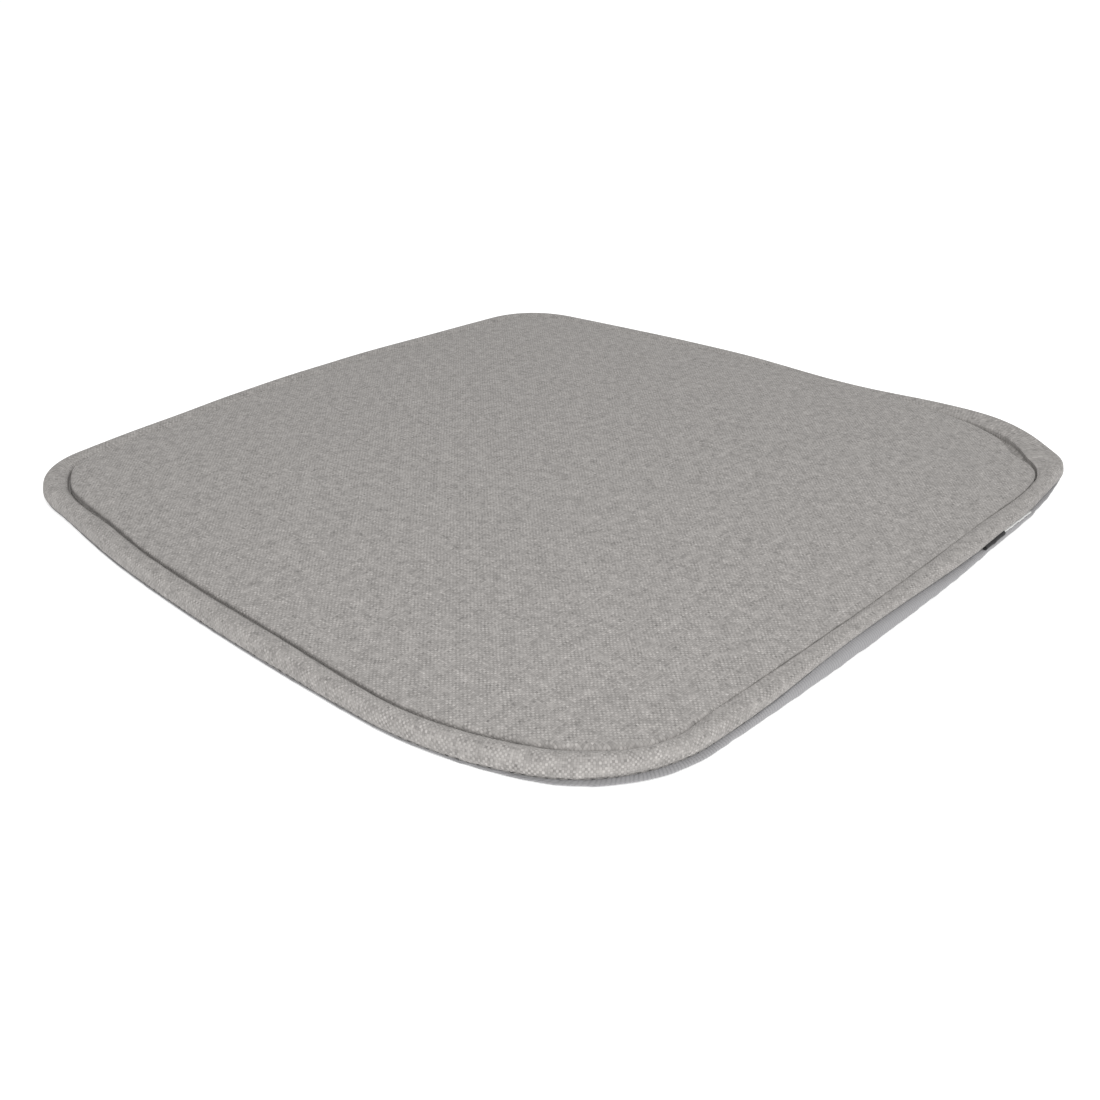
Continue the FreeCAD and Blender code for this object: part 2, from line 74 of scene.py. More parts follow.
def outline_arcs():
    """The twelve arcs, anticlockwise from the middle of the front, where the front and back come as
    two halves each: (centre, radius, start, end)."""
    front = np.array([0, FRONT_RADIUS - HALF_DEPTH])
    back = np.array([0, HALF_DEPTH - BACK_RADIUS])
    side = np.array([HALF_WIDTH - SIDE_FRONT_RADIUS, WIDEST_Y])
    rear = np.array([HALF_WIDTH - SIDE_REAR_RADIUS, WIDEST_Y])
    corner, front_end, side_start = internal_fillet(
        front, FRONT_RADIUS, side, SIDE_FRONT_RADIUS, FRONT_CORNER,
        np.array([HALF_WIDTH, -HALF_DEPTH]))
    back_corner, rear_end, back_start = internal_fillet(
        rear, SIDE_REAR_RADIUS, back, BACK_RADIUS, BACK_CORNER, np.array([HALF_WIDTH, HALF_DEPTH]))
    widest, middle = np.array([HALF_WIDTH, WIDEST_Y]), np.array([0, -HALF_DEPTH])
    flip = np.array([-1, 1])
    right = [(front, FRONT_RADIUS, middle, front_end), (corner, FRONT_CORNER, front_end, side_start),
             (side, SIDE_FRONT_RADIUS, side_start, widest), (rear, SIDE_REAR_RADIUS, widest, rear_end),
             (back_corner, BACK_CORNER, rear_end, back_start),
             (back, BACK_RADIUS, back_start, np.array([0, HALF_DEPTH]))]
    left = [(c * flip, r, end * flip, start * flip) for c, r, start, end in reversed(right)]
    return right + left


def sample_outline(count):
    """Evenly spaced points round the outline, starting at the middle of the back, their inward
    directions and their distances along it. The last point repeats the first."""
    arcs = outline_arcs()
    spans = []
    for centre, radius, start, end in arcs:
        a, b = (math.atan2(*(p - centre)[::-1]) for p in (start, end))
        spans.append((a, (b - a) % (2 * math.pi)))
    lengths = [radius * span for (_, radius, _, _), (_, span) in zip(arcs, spans)]
    total = sum(lengths)
    ends = np.cumsum(lengths)
    points, inward = [], []
    for distance in np.linspace(0, total, count + 1):
        place = (distance + total / 2) % total
        number = min(int(np.searchsorted(ends, place)), len(arcs) - 1)
        centre, radius = arcs[number][:2]
        angle = spans[number][0] + (place - (ends[number] - lengths[number])) / radius
        direction = np.array([math.cos(angle), math.sin(angle)])
        points.append(centre + radius * direction)
        inward.append(-direction)
    return np.array(points), np.array(inward), np.linspace(0, total, count + 1)


STEPS = 1200
EDGE, INWARD, ALONG = sample_outline(STEPS)
PERIMETER = ALONG[-1]


# ---------------------------------------------------------------- how the rim varies round the pad
def smooth(value, start, end):
    t = np.clip((value - start) / (end - start), 0, 1)
    return t * t * (3 - 2 * t)


def near(x, y, reach):
    """1 beside a point of the rim given in millimetres, fading to 0 within about twice the reach."""
    away = np.hypot(EDGE[:, 0] - x * MM, EDGE[:, 1] - y * MM)
    return np.exp(-(away / (reach * MM)) ** 2)


def wander(scale, seed):
    """Smooth wandering along the rim between about -1 and 1, the same at both ends."""
    radius = PERIMETER / (2 * math.pi) / scale
    turn = ALONG / PERIMETER * 2 * math.pi
    return np.array([noise.noise(Vector((radius * math.cos(a), radius * math.sin(a), seed))) * 2
                     for a in turn])


ACROSS = EDGE[:, 0]
FRONT = smooth(-EDGE[:, 1], HALF_DEPTH - 75 * MM, HALF_DEPTH - 6 * MM)
ZIP_LIP = np.exp(-((ACROSS + 45 * MM) / (108 * MM)) ** 2) * FRONT
LEFT_FRONT, RIGHT_FRONT = near(-178, -203, 48), near(196, -196, 46)
RIGHT_CORNER = near(212, -178, 72) * smooth(EDGE[:, 1], -223.2 * MM, -204.5 * MM)
LEFT_BACK = near(-198, 190, 48)
SAG = near(228, -50, 55)


FRONT_EDGE_Y = -150 * MM      # every point of the rim further forward belongs to the front edge


def stretch(start, end, fade=3):
    """1 along a part of the front edge, given in millimetres, with soft ends."""
    inside = smooth(ACROSS, (start - fade) * MM, start * MM)
    return inside * (1 - smooth(ACROSS, end * MM, (end + fade) * MM)) * (EDGE[:, 1] < FRONT_EDGE_Y)


ZIP_ROOM = stretch(-138, 78, 12)
LIP_OPEN = (0.30 + 0.16 * wander(3.5 * MM, 12.0) + 0.06 * ZIP_ROOM + 0.60 * stretch(71, 91)) * MM
ZIP_END = near(-122, -220, 42)

# How far the outline, seam and groove lie in, and how high the rim and panel stand, round the pad.
TUCK = np.maximum(2.4 - 1.3 * ZIP_LIP - 1.3 * ZIP_END, 0.5) * MM

LEFT_SIDE = smooth(-ACROSS, 185 * MM, 215 * MM) * (1 - smooth(EDGE[:, 1], 70 * MM, 160 * MM)) * (1 - FRONT)
CORNER_TIP = 3.0 * near(160, -219, 26) - 3.0 * near(191, -210, 14)
OUTLINE_IN = (CORNER_TIP + 2.2 * near(229, -60, 50) - 3.2 * near(221, -160, 36) - 1.6 * near(190, -207, 28)
              + 1.4 * near(-216, 140, 52) + 1.6 * near(-100, 219, 48) + 1.0 * near(226, 10, 40)
              + 1.2 * near(112, 216, 34) - 1.6 * near(196, 200, 26)) * MM
SEAM_UP = (1.9 + 0.7 * FRONT + 4.3 * ZIP_LIP - 0.9 * LEFT_FRONT - 0.7 * RIGHT_FRONT
           + 2.2 * near(100, -221, 32)) * MM
SEAM_IN = (0.9 + 0.8 * FRONT + 2.6 * ZIP_LIP - 1.6 * ZIP_END + 1.2 * LEFT_FRONT + 0.9 * RIGHT_FRONT
           + 2.0 * near(-212, 168, 40)) * MM
GROOVE_IN = (13.5 - CORNER_TIP - 1.5 * FRONT * (1 - smooth(ACROSS, 130 * MM, 190 * MM)) - 1.9 * LEFT_SIDE
             - 2.7 * near(-229, -115, 60) - 1.2 * near(-224, 60, 60) + 7.2 * RIGHT_CORNER
             - 2.4 * near(-176, -214, 26) - 2.2 * near(132, -220, 32) + 2.6 * near(-206, 188, 24)
             - 2.0 * near(-213, 150, 28) + 1.0 * near(190, -206, 26) + 2.4 * near(198, -204, 24)) * MM
GROOVE_GAP = (1.25 - 0.35 * LEFT_SIDE - 1.32 * FRONT + 0.45 * LEFT_BACK + 4.3 * near(204, -192, 32)
              + 1.3 * near(227, -120, 46) + 1.8 * near(190, -206, 26)
              + 0.14 * wander(14 * MM, 3.0) + 0.14 * wander(7 * MM, 6.0)) * MM
GROOVE_GAP = np.maximum(GROOVE_GAP, -0.12 * MM)
GROOVE_FLOOR = 6.7 * MM
RIM_OUTER = SEAM_IN - 0.85 * MM
RIM_LIP = GROOVE_IN - 0.5 * GROOVE_GAP
PANEL_START = GROOVE_IN + 0.5 * GROOVE_GAP
RIM_UP = (11.2 - 0.3 * FRONT - 2.4 * SAG + 0.9 * near(221, -160, 36)
          + 0.12 * wander(45 * MM, 8.0)) * MM
RIM_FALL = (1.5 - 0.5 * FRONT + 0.4 * LEFT_FRONT - 0.1 * LEFT_SIDE - 0.6 * RIGHT_CORNER) * MM
PANEL_UP = (11.5 - 0.9 * FRONT - 0.4 * LEFT_SIDE - 0.9 * RIGHT_CORNER + 0.8 * SAG) * MM
PANEL_ROLL = (1.4 - 0.9 * FRONT + 2.0 * LEFT_FRONT) * MM
LIP_ROUND = (1.3 - 0.8 * FRONT + 0.3 * RIGHT_CORNER) * MM
CROWN_TOP = 17.8 * MM
EDGE = EDGE + INWARD * OUTLINE_IN[:, None]
PUCKER = (0.16 * wander(9 * MM, 21.0) + 0.20 * wander(24 * MM, 22.0)) * MM


# ---------------------------------------------------------------- meshes
def link(name, data):
    piece = bpy.data.objects.new(name, data)
    bpy.context.scene.collection.objects.link(piece)
    return piece


def make_mesh(name, points, faces, weave=None):
    mesh = bpy.data.meshes.new(name)
    mesh.from_pydata([tuple(map(float, p)) for p in points], [], [tuple(f) for f in faces])
    mesh.update()
    mesh.polygons.foreach_set("use_smooth", [True] * len(mesh.polygons))
    if weave is not None:
        stored = mesh.attributes.new("weave", "FLOAT_VECTOR", "POINT")
        stored.data.foreach_set("vector", np.asarray(weave, np.float32).ravel())
    return link(name, mesh)


def spread(value):
    """One value for every step round the outline."""
    return np.zeros(STEPS + 1) + value


def spline(knots, count):
    """A smooth curve through a profile's (inset, height) knots, for every step at once."""
    knots = np.array([[spread(part) for part in knot] for knot in knots])
    knots = np.concatenate([[2 * knots[0] - knots[1]], knots, [2 * knots[-1] - knots[-2]]])
    result = []
    for place in np.linspace(0, len(knots) - 3, count):
        k = min(int(place), len(knots) - 4)
        t = place - k
        p0, p1, p2, p3 = knots[k:k + 4]
        result.append(0.5 * (2 * p1 + (p2 - p0) * t + (2 * p0 - 5 * p1 + 4 * p2 - p3) * t * t
                             + (3 * p1 - p0 - 3 * p2 + p3) * t ** 3))
    return np.array(result)


def sweep(profile):
    """A profile (inset, height at each step) carried round the outline: rows of points."""
    inset, height = profile[:, 0], profile[:, 1]
    x = EDGE[:, 0] + INWARD[:, 0] * inset
    y = EDGE[:, 1] + INWARD[:, 1] * inset
    return np.stack([x, y, height], axis=-1)


def row_lengths(surface):
    """How far along the cloth each row is from the first one."""
    steps = np.linalg.norm(np.diff(surface, axis=0), axis=2).mean(axis=1)
    return np.concatenate([[0], np.cumsum(steps)])


def ring_faces(rows, around):
    """Quads between closed rings of points, facing outward for rings that go up or inward."""
    return [(row * around + column, row * around + (column + 1) % around,
             (row + 1) * around + (column + 1) % around, (row + 1) * around + column)
            for row in range(rows - 1) for column in range(around)]


def thicken(piece, thickness):
    shell = piece.modifiers.new("cloth", "SOLIDIFY")
    shell.thickness = thickness
    shell.offset = -1
    return piece


CLOTH = 0.8 * MM


def border_cloth():
    """The rim strip: tucked into the lower seam, out and over, and down into the groove."""
    outer, lip = RIM_OUTER, RIM_LIP
    rise = RIM_UP - SEAM_UP
    shoulder = RIM_UP - RIM_FALL
    crest = outer + 5.0 * MM
    profile = spline([
        (SEAM_IN + TUCK, SEAM_UP + LIP_OPEN + 0.05 * MM),
        (SEAM_IN + np.minimum(0.9 * MM, 0.75 * TUCK), SEAM_UP + LIP_OPEN + 0.05 * MM),
        (SEAM_IN + 0.05 * MM, SEAM_UP + LIP_OPEN + 0.25 * MM + 0.5 * PUCKER),
        (outer, SEAM_UP + 0.30 * rise),
        (outer + 0.8 * MM, RIM_UP - 0.24 * rise),
        (outer + 2.6 * MM, RIM_UP - 0.4 * MM),
        (crest, RIM_UP),
        (0.5 * (crest + lip), RIM_UP - 0.30 * RIM_FALL),
        (lip - LIP_ROUND, shoulder + 0.10 * RIM_FALL + PUCKER),
        (lip - 0.1 * MM, shoulder - 0.7 * LIP_ROUND),
        (lip + 0.1 * MM, spread(GROOVE_FLOOR + 0.7 * MM)),
        (GROOVE_IN + 0.1 * MM, spread(GROOVE_FLOOR)),
    ], 36)
    surface = sweep(profile)
    rows, columns = surface.shape[:2]
    weave = np.zeros((rows, columns, 3))
    weave[:, :, 0] = ALONG
    weave[:, :, 1] = row_lengths(surface)[:, None]
    faces = [(a, a + 1, a + columns + 1, a + columns)
             for row in range(rows - 1) for a in range(row * columns, (row + 1) * columns - 1)]
    piece = make_mesh("border_cloth", surface.reshape(-1, 3), faces, weave.reshape(-1, 3))
    return thicken(piece, CLOTH)


def close_over(edge_rows, turned, heights, hub_height):
    """Points, faces and weave of a cloth whose edge rows go on as shrinking rings to a middle
    point. Its weave lies flat over the middle, and the turned rows at the edge carry it on."""
    ring = edge_rows[-1]
    inner = [np.stack([ring[:, 0] * scale, ring[:, 1] * scale, height], axis=-1)
             for scale, height in heights]
    surface = np.concatenate([edge_rows, np.array(inner)])[:, :-1]
    rows, around = surface.shape[:2]
    flat = np.zeros((rows, around, 3))
    flat[:, :, :2] = surface[:, :, :2]
    lengths = row_lengths(surface)
    for row in range(turned):
        flat[row, :, :2] = surface[turned, :, :2] - INWARD[:-1] * (lengths[turned] - lengths[row])
    points = np.concatenate([surface.reshape(-1, 3), [[0, 0, hub_height]]])
    weave = np.concatenate([flat.reshape(-1, 3), [[0, 0, 0]]])
    hub, last = len(points) - 1, (rows - 1) * around
    faces = ring_faces(rows, around)
    faces += [(last + column, last + (column + 1) % around, hub) for column in range(around)]
    return points, faces, weave


def shares(inset):
    """How far points at an inset lie from the pad's middle, 1 at the groove."""
    reach = -(EDGE * INWARD).sum(axis=1)
    return np.clip(1 - (inset - GROOVE_IN) / (reach - GROOVE_IN), 0, 1)


def crown(share):
    """The centre panel's height by its distance from the middle."""
    return PANEL_UP + (CROWN_TOP - PANEL_UP) * (1 - share ** 2.6)


def centre_cloth():
    """The crowned middle: up from the groove's stitching, rolled over and closed across."""
    start = PANEL_START
    profile = [(GROOVE_IN + 0.1 * MM, spread(GROOVE_FLOOR)),
               (start + 0.25 * MM, spread(GROOVE_FLOOR + 1.0 * MM)),
               (start + 0.10 * MM, 0.5 * (GROOVE_FLOOR + 1.0 * MM + PANEL_UP - PANEL_ROLL))]
    for turn in np.linspace(0, math.pi / 2, 9):
        inset = start + PANEL_ROLL * (1 - math.cos(turn))
        height = crown(shares(inset)) - PANEL_ROLL * (1 - math.sin(turn))
        profile.append((inset, height + PUCKER * 0.6))
    turned = len(profile) - 1
    for step, calm in ((1.2, 0.5), (3, 0.35), (6, 0.15), (10, 0.05), (15, 0)):
        inset = start + PANEL_ROLL + step * MM
        profile.append((inset, crown(shares(inset)) + PUCKER * calm))
    edge_rows = sweep(np.array(profile))
    outermost = shares(profile[-1][0])
    heights = [(scale, crown(outermost * scale)) for scale in np.linspace(1, 0, 23)[1:-1]]
    points, faces, weave = close_over(edge_rows, turned, heights, CROWN_TOP)
    lumps_per_metre, seed = 16, 5.0
    for point in points:
        broad = noise.noise(Vector((point[0] * lumps_per_metre, point[1] * lumps_per_metre, seed)))
        point[2] += 0.22 * MM * broad
    return thicken(make_mesh("centre_cloth", points, faces, weave), CLOTH)


def base_cloth():
    """The underside: tucked into the lower seam, turned under the rim and closed across."""
    ripple = 0.22 * MM * wander(7 * MM, 31.0) * (0.3 + 0.7 * FRONT)
    bulge = np.minimum(0.55 * SEAM_UP, 2.4 * MM)
    under = (0.25 + 0.6 * (1 - FRONT) + 0.9 * near(90, -222, 40)) * MM + ripple
    under = under + (2.6 * near(-212, 168, 40) + 2.6 * near(186, -211, 20)) * MM
    profile = spline([
        (SEAM_IN + TUCK, SEAM_UP - LIP_OPEN - 0.05 * MM),
        (SEAM_IN + np.minimum(0.8 * MM, 0.7 * TUCK), SEAM_UP - LIP_OPEN - 0.08 * MM),
        (0.35 * SEAM_IN + 0.65 * under, 0.62 * (SEAM_UP - 0.4 * MM) + 0.38 * bulge),
        (under, bulge),
        (under + 0.75 * MM, np.minimum(0.35 * SEAM_UP, 0.85 * MM)),
        (under + 2.6 * MM, spread(0.12 * MM)),
        (under + 5.5 * MM, spread(0.0)),
        (under + 9.0 * MM, spread(0.0)),
    ], 28)
    edge_rows = sweep(profile)
    heights = [(scale, spread(0.0)) for scale in np.linspace(1, 0, 12)[1:-1]]
    points, faces, weave = close_over(edge_rows, len(edge_rows) - 1, heights, 0.0)
    return thicken(make_mesh("base_cloth", points, [f[::-1] for f in faces], weave), CLOTH)


# ---------------------------------------------------------------- thread, tag, label, zip
def tube(points, radii, sides=6):
    """Points and faces of a closed rod along a line; radii may swell and pinch it."""
    points = [Vector(p) for p in points]
    rings, faces = [], []
    for number, point in enumerate(points):
        ahead = points[min(number + 1, len(points) - 1)] - points[max(number - 1, 0)]
        across = ahead.orthogonal().normalized()
        other = ahead.cross(across).normalized()
        for side in range(sides):
            angle = 2 * math.pi * side / sides
            offset = (across * math.cos(angle) + other * math.sin(angle)) * radii[number]
            rings.append(point + offset)
    for number in range(len(points) - 1):
        for side in range(sides):
            a, b = number * sides + side, number * sides + (side + 1) % sides
            faces.append((a, b, b + sides, a + sides))
    faces.append(tuple(range(sides))[::-1])
    faces.append(tuple(range((len(points) - 1) * sides, len(points) * sides)))
    return rings, faces


def joined(name, parts):
    points, faces = [], []
    for some_points, some_faces in parts:
        start = len(points)
        points += some_points
        faces += [tuple(index + start for index in face) for face in some_faces]
    return make_mesh(name, points, faces)


def rim_point(distance, inset, height):
    """A point beside the outline, by its distance along it."""
    def at(values):
        return np.interp(distance % PERIMETER, ALONG, values)
    return Vector((at(EDGE[:, 0]) + at(INWARD[:, 0]) * at(inset),
                   at(EDGE[:, 1]) + at(INWARD[:, 1]) * at(inset), at(height)))


def stitches(name, inset, height, pitch, thick, keep=lambda x: True):
    """A row of short thread stitches, each dipping into the cloth at both ends."""
    parts = []
    for number in range(int(PERIMETER / pitch)):
        start = number * pitch
        line = [rim_point(start + pitch * t, inset, height - spread(dip * thick))
                for t, dip in ((0.08, 1.2), (0.25, 0.2), (0.5, 0.0), (0.75, 0.2), (0.92, 1.2))]
        if keep(line[2]):
            parts.append(tube(line, [thick * r for r in (0.3, 0.5, 0.55, 0.5, 0.3)]))
    return joined(name, parts)


def groove_stitches():
    return stitches("groove_stitches", GROOVE_IN, spread(GROOVE_FLOOR + 0.25 * MM), 3.2 * MM, 0.5 * MM)


def lower_stitches():
    """Stitching of the lower seam, left out where the zip and the tags are."""
    start, end, front = -130 * MM, 125 * MM, -190 * MM

    def away_from_zip(point):
        return not (point.y < front and start < point.x < end)
    return stitches("lower_stitches", SEAM_IN + 0.6 * MM, SEAM_UP, 4.6 * MM, 0.42 * MM, away_from_zip)


def at_front(x):
    """The step round the outline that lies at x on the front edge."""
    steps = np.nonzero(EDGE[:, 1] < FRONT_EDGE_Y)[0]
    return steps[np.argmin(np.abs(ACROSS[steps] - x))]


def strip(name, rows, weave_step, thickness):
    """A strip of cloth through rows of points, thickened evenly to both sides."""
    across = len(rows[0])
    points = [point for row in rows for point in row]
    faces = [(r * across + c, r * across + c + 1, (r + 1) * across + c + 1, (r + 1) * across + c)
             for r in range(len(rows) - 1) for c in range(across - 1)]
    weave = [(p.x, i % across * weave_step, 0) for i, p in enumerate(points)]
    shell = thicken(make_mesh(name, points, faces, weave), thickness)
    shell.modifiers[0].offset = 0
    return shell


def folded_strip(name, start, end, out, tail, thickness, droop, stand):
    """A strip folded over and caught in the front seam, drooping a little. out is how far its
    fold stands proud of the seam, tail how far its ends run in behind it, and stand how far it
    lies above the seam."""
    rows = []
    for x in np.linspace(start, end, 24):
        step = at_front(x)
        y = EDGE[step, 1] + SEAM_IN[step]
        z = SEAM_UP[step] + stand
        wave = 0.10 * MM * math.sin((x - start) * 520) + 0.08 * MM * math.sin((x - start) * 1250)
        radius = thickness * 0.75
        line = [(y + tail, z + radius), (y, z + radius)]
        line += [(y - (out - radius) * t, z + radius - droop * t * t) for t in (0.35, 0.7, 1.0)]
        line += [(y - (out - radius) - radius * math.sin(a), z - droop + radius * math.cos(a))
                 for a in np.linspace(0, math.pi, 7)[1:]]
        line += [(y - (out - radius) * t, z - radius - droop * t * t) for t in (0.7, 0.35)]
        line += [(y, z - radius), (y + tail, z - radius)]
        rows.append([Vector((x, py + wave, pz + wave * 0.6)) for py, pz in line])
    return strip(name, rows, 0.6 * MM, thickness)


ZIP_MIDDLE_UP = 6.5 * MM      # between the two tapes


def zip_tape(name, node):
    """A zip tape inside the CAD tape's box: flat, with its front edge turned towards the other tape."""
    low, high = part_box(node)
    front, back = low.y + 0.4 * MM, high.y - 0.4 * MM
    bottom = high.z < ZIP_MIDDLE_UP
    z = low.z + 0.35 * MM if bottom else high.z - 0.35 * MM
    edge = high.z - 0.2 * MM if bottom else low.z + 0.2 * MM
    rows = []
    for x in np.linspace(low.x, high.x, 160):
        wave = 0.05 * MM * math.sin(x * 300)
        rows.append([Vector((x, front, edge)), Vector((x, front + 0.05 * MM, 0.5 * (z + edge))),
                     Vector((x, front + 0.5 * MM, z)), Vector((x, 0.5 * (front + back), z + wave)),
                     Vector((x, back, z))])
    return strip(name, rows, 2 * MM, 0.5 * MM)


def zip_coil(name, node):
    """A zip coil: one filament wound in flattened turns along the tape's edge."""
    low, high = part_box(node)
    thick = 0.30 * MM
    pitch = 1.5 * MM
    turns = int((high.x - low.x - 2 * thick) / pitch)
    steps = 10
    middle = (low + high) / 2
    tall, deep = (high.z - low.z) / 2 - thick, (high.y - low.y) / 2 - thick
    line = []
    for number in range(turns * steps + 1):
        angle = number / steps * 2 * math.pi
        bend = [math.copysign(abs(f(angle)) ** 0.7, f(angle)) for f in (math.cos, math.sin)]
        line.append((low.x + thick + pitch * number / steps, middle.y + deep * bend[0],
                     middle.z + tall * bend[1]))
    points, faces = tube(line, [thick] * len(line), 5)
    return make_mesh(name, points, faces)


# ---------------------------------------------------------------- filling
def ring_solid(name, profile):
    """A closed ring of filling from a closed profile of (inset, height) pairs."""
    surface = sweep(np.array([[spread(part) for part in knot] for knot in profile]))[:, :-1:3]
    rows, around = surface.shape[:2]
    faces = [(row * around + column, row * around + (column + 1) % around,
              (row + 1) % rows * around + (column + 1) % around, (row + 1) % rows * around + column)
             for row in range(rows) for column in range(around)]
    return make_mesh(name, surface.reshape(-1, 3), faces)


def slab(name, bottom, top_of, inset, edge, bottom_of=None):
    """A closed slab of filling with rounded edges and a crowned top."""
    rows = [(inset + edge, bottom), (inset + 0.3 * edge, bottom + 0.3 * edge),
            (inset, bottom + edge)]
    share = shares(inset)
    rows += [(inset, top_of(share) - edge), (inset + 0.3 * edge, top_of(share) - 0.3 * edge),
             (inset + edge, top_of(shares(inset + edge)))]
    edge_rows = sweep(np.array([[spread(a), spread(b)] for a, b in rows]))[:, :-1:3]
    around = edge_rows.shape[1]
    outermost = shares(inset + edge)

    def disc(ring, height_of):
        return [np.stack([ring[:, 0] * scale, ring[:, 1] * scale,
                          height_of(outermost * scale)[:-1:3]], axis=-1)
                for scale in np.linspace(1, 0, 14)[1:-1]]

    bottom_of = bottom_of or (lambda share: share * 0 + bottom)
    surface = np.concatenate([disc(edge_rows[0], bottom_of)[::-1], edge_rows,
                              disc(edge_rows[-1], top_of)])
    hubs = [(0, 0, height_of(spread(0.0))[0]) for height_of in (bottom_of, top_of)]
    faces = ring_faces(len(surface), around)
    hub, last = len(surface) * around, (len(surface) - 1) * around
    for c in range(around):
        after = (c + 1) % around
        faces += [(after, c, hub), (last + c, last + after, hub + 1)]
    return make_mesh(name, [*surface.reshape(-1, 3), *hubs], faces)


def foam_top(share):
    """The foam's top: low under the rim and groove, then following the crown."""
    rise = smooth((1 - share) * HALF_WIDTH, 3 * MM, 22 * MM)
    return 5.4 * MM + (crown(share) - 9.6 * MM) * rise


def foam_pad():
    """The foam slab, set further in along the front to leave room for the zip."""
    inset = 6 * MM + 5.4 * MM * ZIP_ROOM
    return slab("foam_pad", spread(1.1 * MM), foam_top, inset, 1.2 * MM)


def centre_filling():
    """The soft layer between the foam and the centre cloth, a hair clear of the foam."""
    inset = PANEL_START + 1.9 * MM
    clearance = 0.3 * MM
    return slab("centre_filling", foam_top(shares(inset)) + clearance,
                lambda share: crown(share) - 1.2 * MM, inset, 0.9 * MM,
                lambda share: foam_top(share) + clearance)


def rim_filling():
    """A soft roll inside the rim strip, thin where it passes over the zip."""
    outer = RIM_OUTER
    lowest, above_zip = 5.9 * MM, 9.35 * MM
    under = np.maximum(SEAM_UP + 1.5 * MM, lowest)
    under = under + (above_zip - under) * ZIP_ROOM
    top = RIM_UP - 1.0 * MM
    shoulder = np.minimum(RIM_UP - RIM_FALL - 1.1 * MM, top - 0.1 * MM)
    shoulder = np.maximum(shoulder, under + 0.25 * MM)
    inner = np.minimum(RIM_LIP - 1.9 * MM, spread(20 * MM))
    return ring_solid("rim_filling", [
        (outer + 2.6 * MM, under), (outer + 1.9 * MM, 0.5 * (under + top)),
        (outer + 2.8 * MM, top - 0.5 * MM), (outer + 5.0 * MM, top), (inner, shoulder), (inner, under)])


# ---------------------------------------------------------------- materials
def new_material(name):
    material = bpy.data.materials.new(name)
    material.use_nodes = True
    nodes, links = material.node_tree.nodes, material.node_tree.links
    nodes.clear()
    output = nodes.new("ShaderNodeOutputMaterial")
    shader = nodes.new("ShaderNodeBsdfPrincipled")
    links.new(shader.outputs[0], output.inputs[0])
    return material, nodes, links, shader


class Nodes:
    """Short spellings for building a node tree."""

    def __init__(self, nodes, links):
        self.nodes, self.links = nodes, links

    def put(self, socket, value):
        if isinstance(value, bpy.types.NodeSocket):
            self.links.new(value, socket)
        else:
            socket.default_value = value

    def math(self, operation, *values):
        node = self.nodes.new("ShaderNodeMath")
        node.operation = operation
        for socket, value in zip(node.inputs, values):
            self.put(socket, value)
        return node.outputs[0]

    def combine(self, x, y, z=0.0):
        node = self.nodes.new("ShaderNodeCombineXYZ")
        for socket, value in zip(node.inputs, (x, y, z)):
            self.put(socket, value)
        return node.outputs[0]

    def plus(self, first, second):
        return self.math("ADD", first, second)

    def times(self, first, second):
        return self.math("MULTIPLY", first, second)

    def swing(self, value, amount):
        """A 0-to-1 value moved to lie about 0 and scaled."""
        return self.times(self.math("SUBTRACT", value, 0.5), amount)

    def half_wave(self, value):
        return self.math("SINE", self.times(value, math.pi))

    def noise(self, vector, scale, detail=2.0, roughness=0.5):
        node = self.nodes.new("ShaderNodeTexNoise")
        self.put(node.inputs["Vector"], vector)
        node.inputs["Scale"].default_value = scale
        node.inputs["Detail"].default_value = detail
        node.inputs["Roughness"].default_value = roughness
        return node.outputs["Fac"]

    def ramp(self, value, stops):
        node = self.nodes.new("ShaderNodeValToRGB")
        self.put(node.inputs[0], value)
        elements = node.color_ramp.elements
        while len(elements) < len(stops):
            elements.new(0.5)
        for element, (position, colour) in zip(elements, stops):
            element.position = position
            element.color = (*colour, 1)
        return node.outputs[0]

    def number_mix(self, factor, first, second):
        node = self.nodes.new("ShaderNodeMix")
        self.put(node.inputs[0], factor)
        self.put(node.inputs[2], first)
        self.put(node.inputs[3], second)
        return node.outputs[0]

    def mix(self, factor, first, second, blend="MIX"):
        node = self.nodes.new("ShaderNodeMix")
        node.data_type = "RGBA"
        node.blend_type = blend
        self.put(node.inputs[0], factor)
        self.put(node.inputs[6], first)
        self.put(node.inputs[7], second)
        return node.outputs[2]


def weave_place(nodes, links):
    """Where a point lies in its cloth: the stored vector, and its parts along and across."""
    cloth = nodes.new("ShaderNodeAttribute")
    cloth.attribute_name = "weave"
    split = nodes.new("ShaderNodeSeparateXYZ")
    links.new(cloth.outputs["Vector"], split.inputs[0])
    return cloth.outputs["Vector"], split.outputs[0], split.outputs[1]


def add_bump(nodes, links, shader, height, strength, distance):
    bump = nodes.new("ShaderNodeBump")
    bump.inputs["Strength"].default_value = strength
    bump.inputs["Distance"].default_value = distance
    links.new(height, bump.inputs["Height"])
    links.new(bump.outputs[0], shader.inputs["Normal"])


def finish_cloth(shader, roughness, sheen):
    shader.inputs["Roughness"].default_value = roughness
    shader.inputs["Specular IOR Level"].default_value = 0.22
    shader.inputs["Sheen Weight"].default_value = sheen


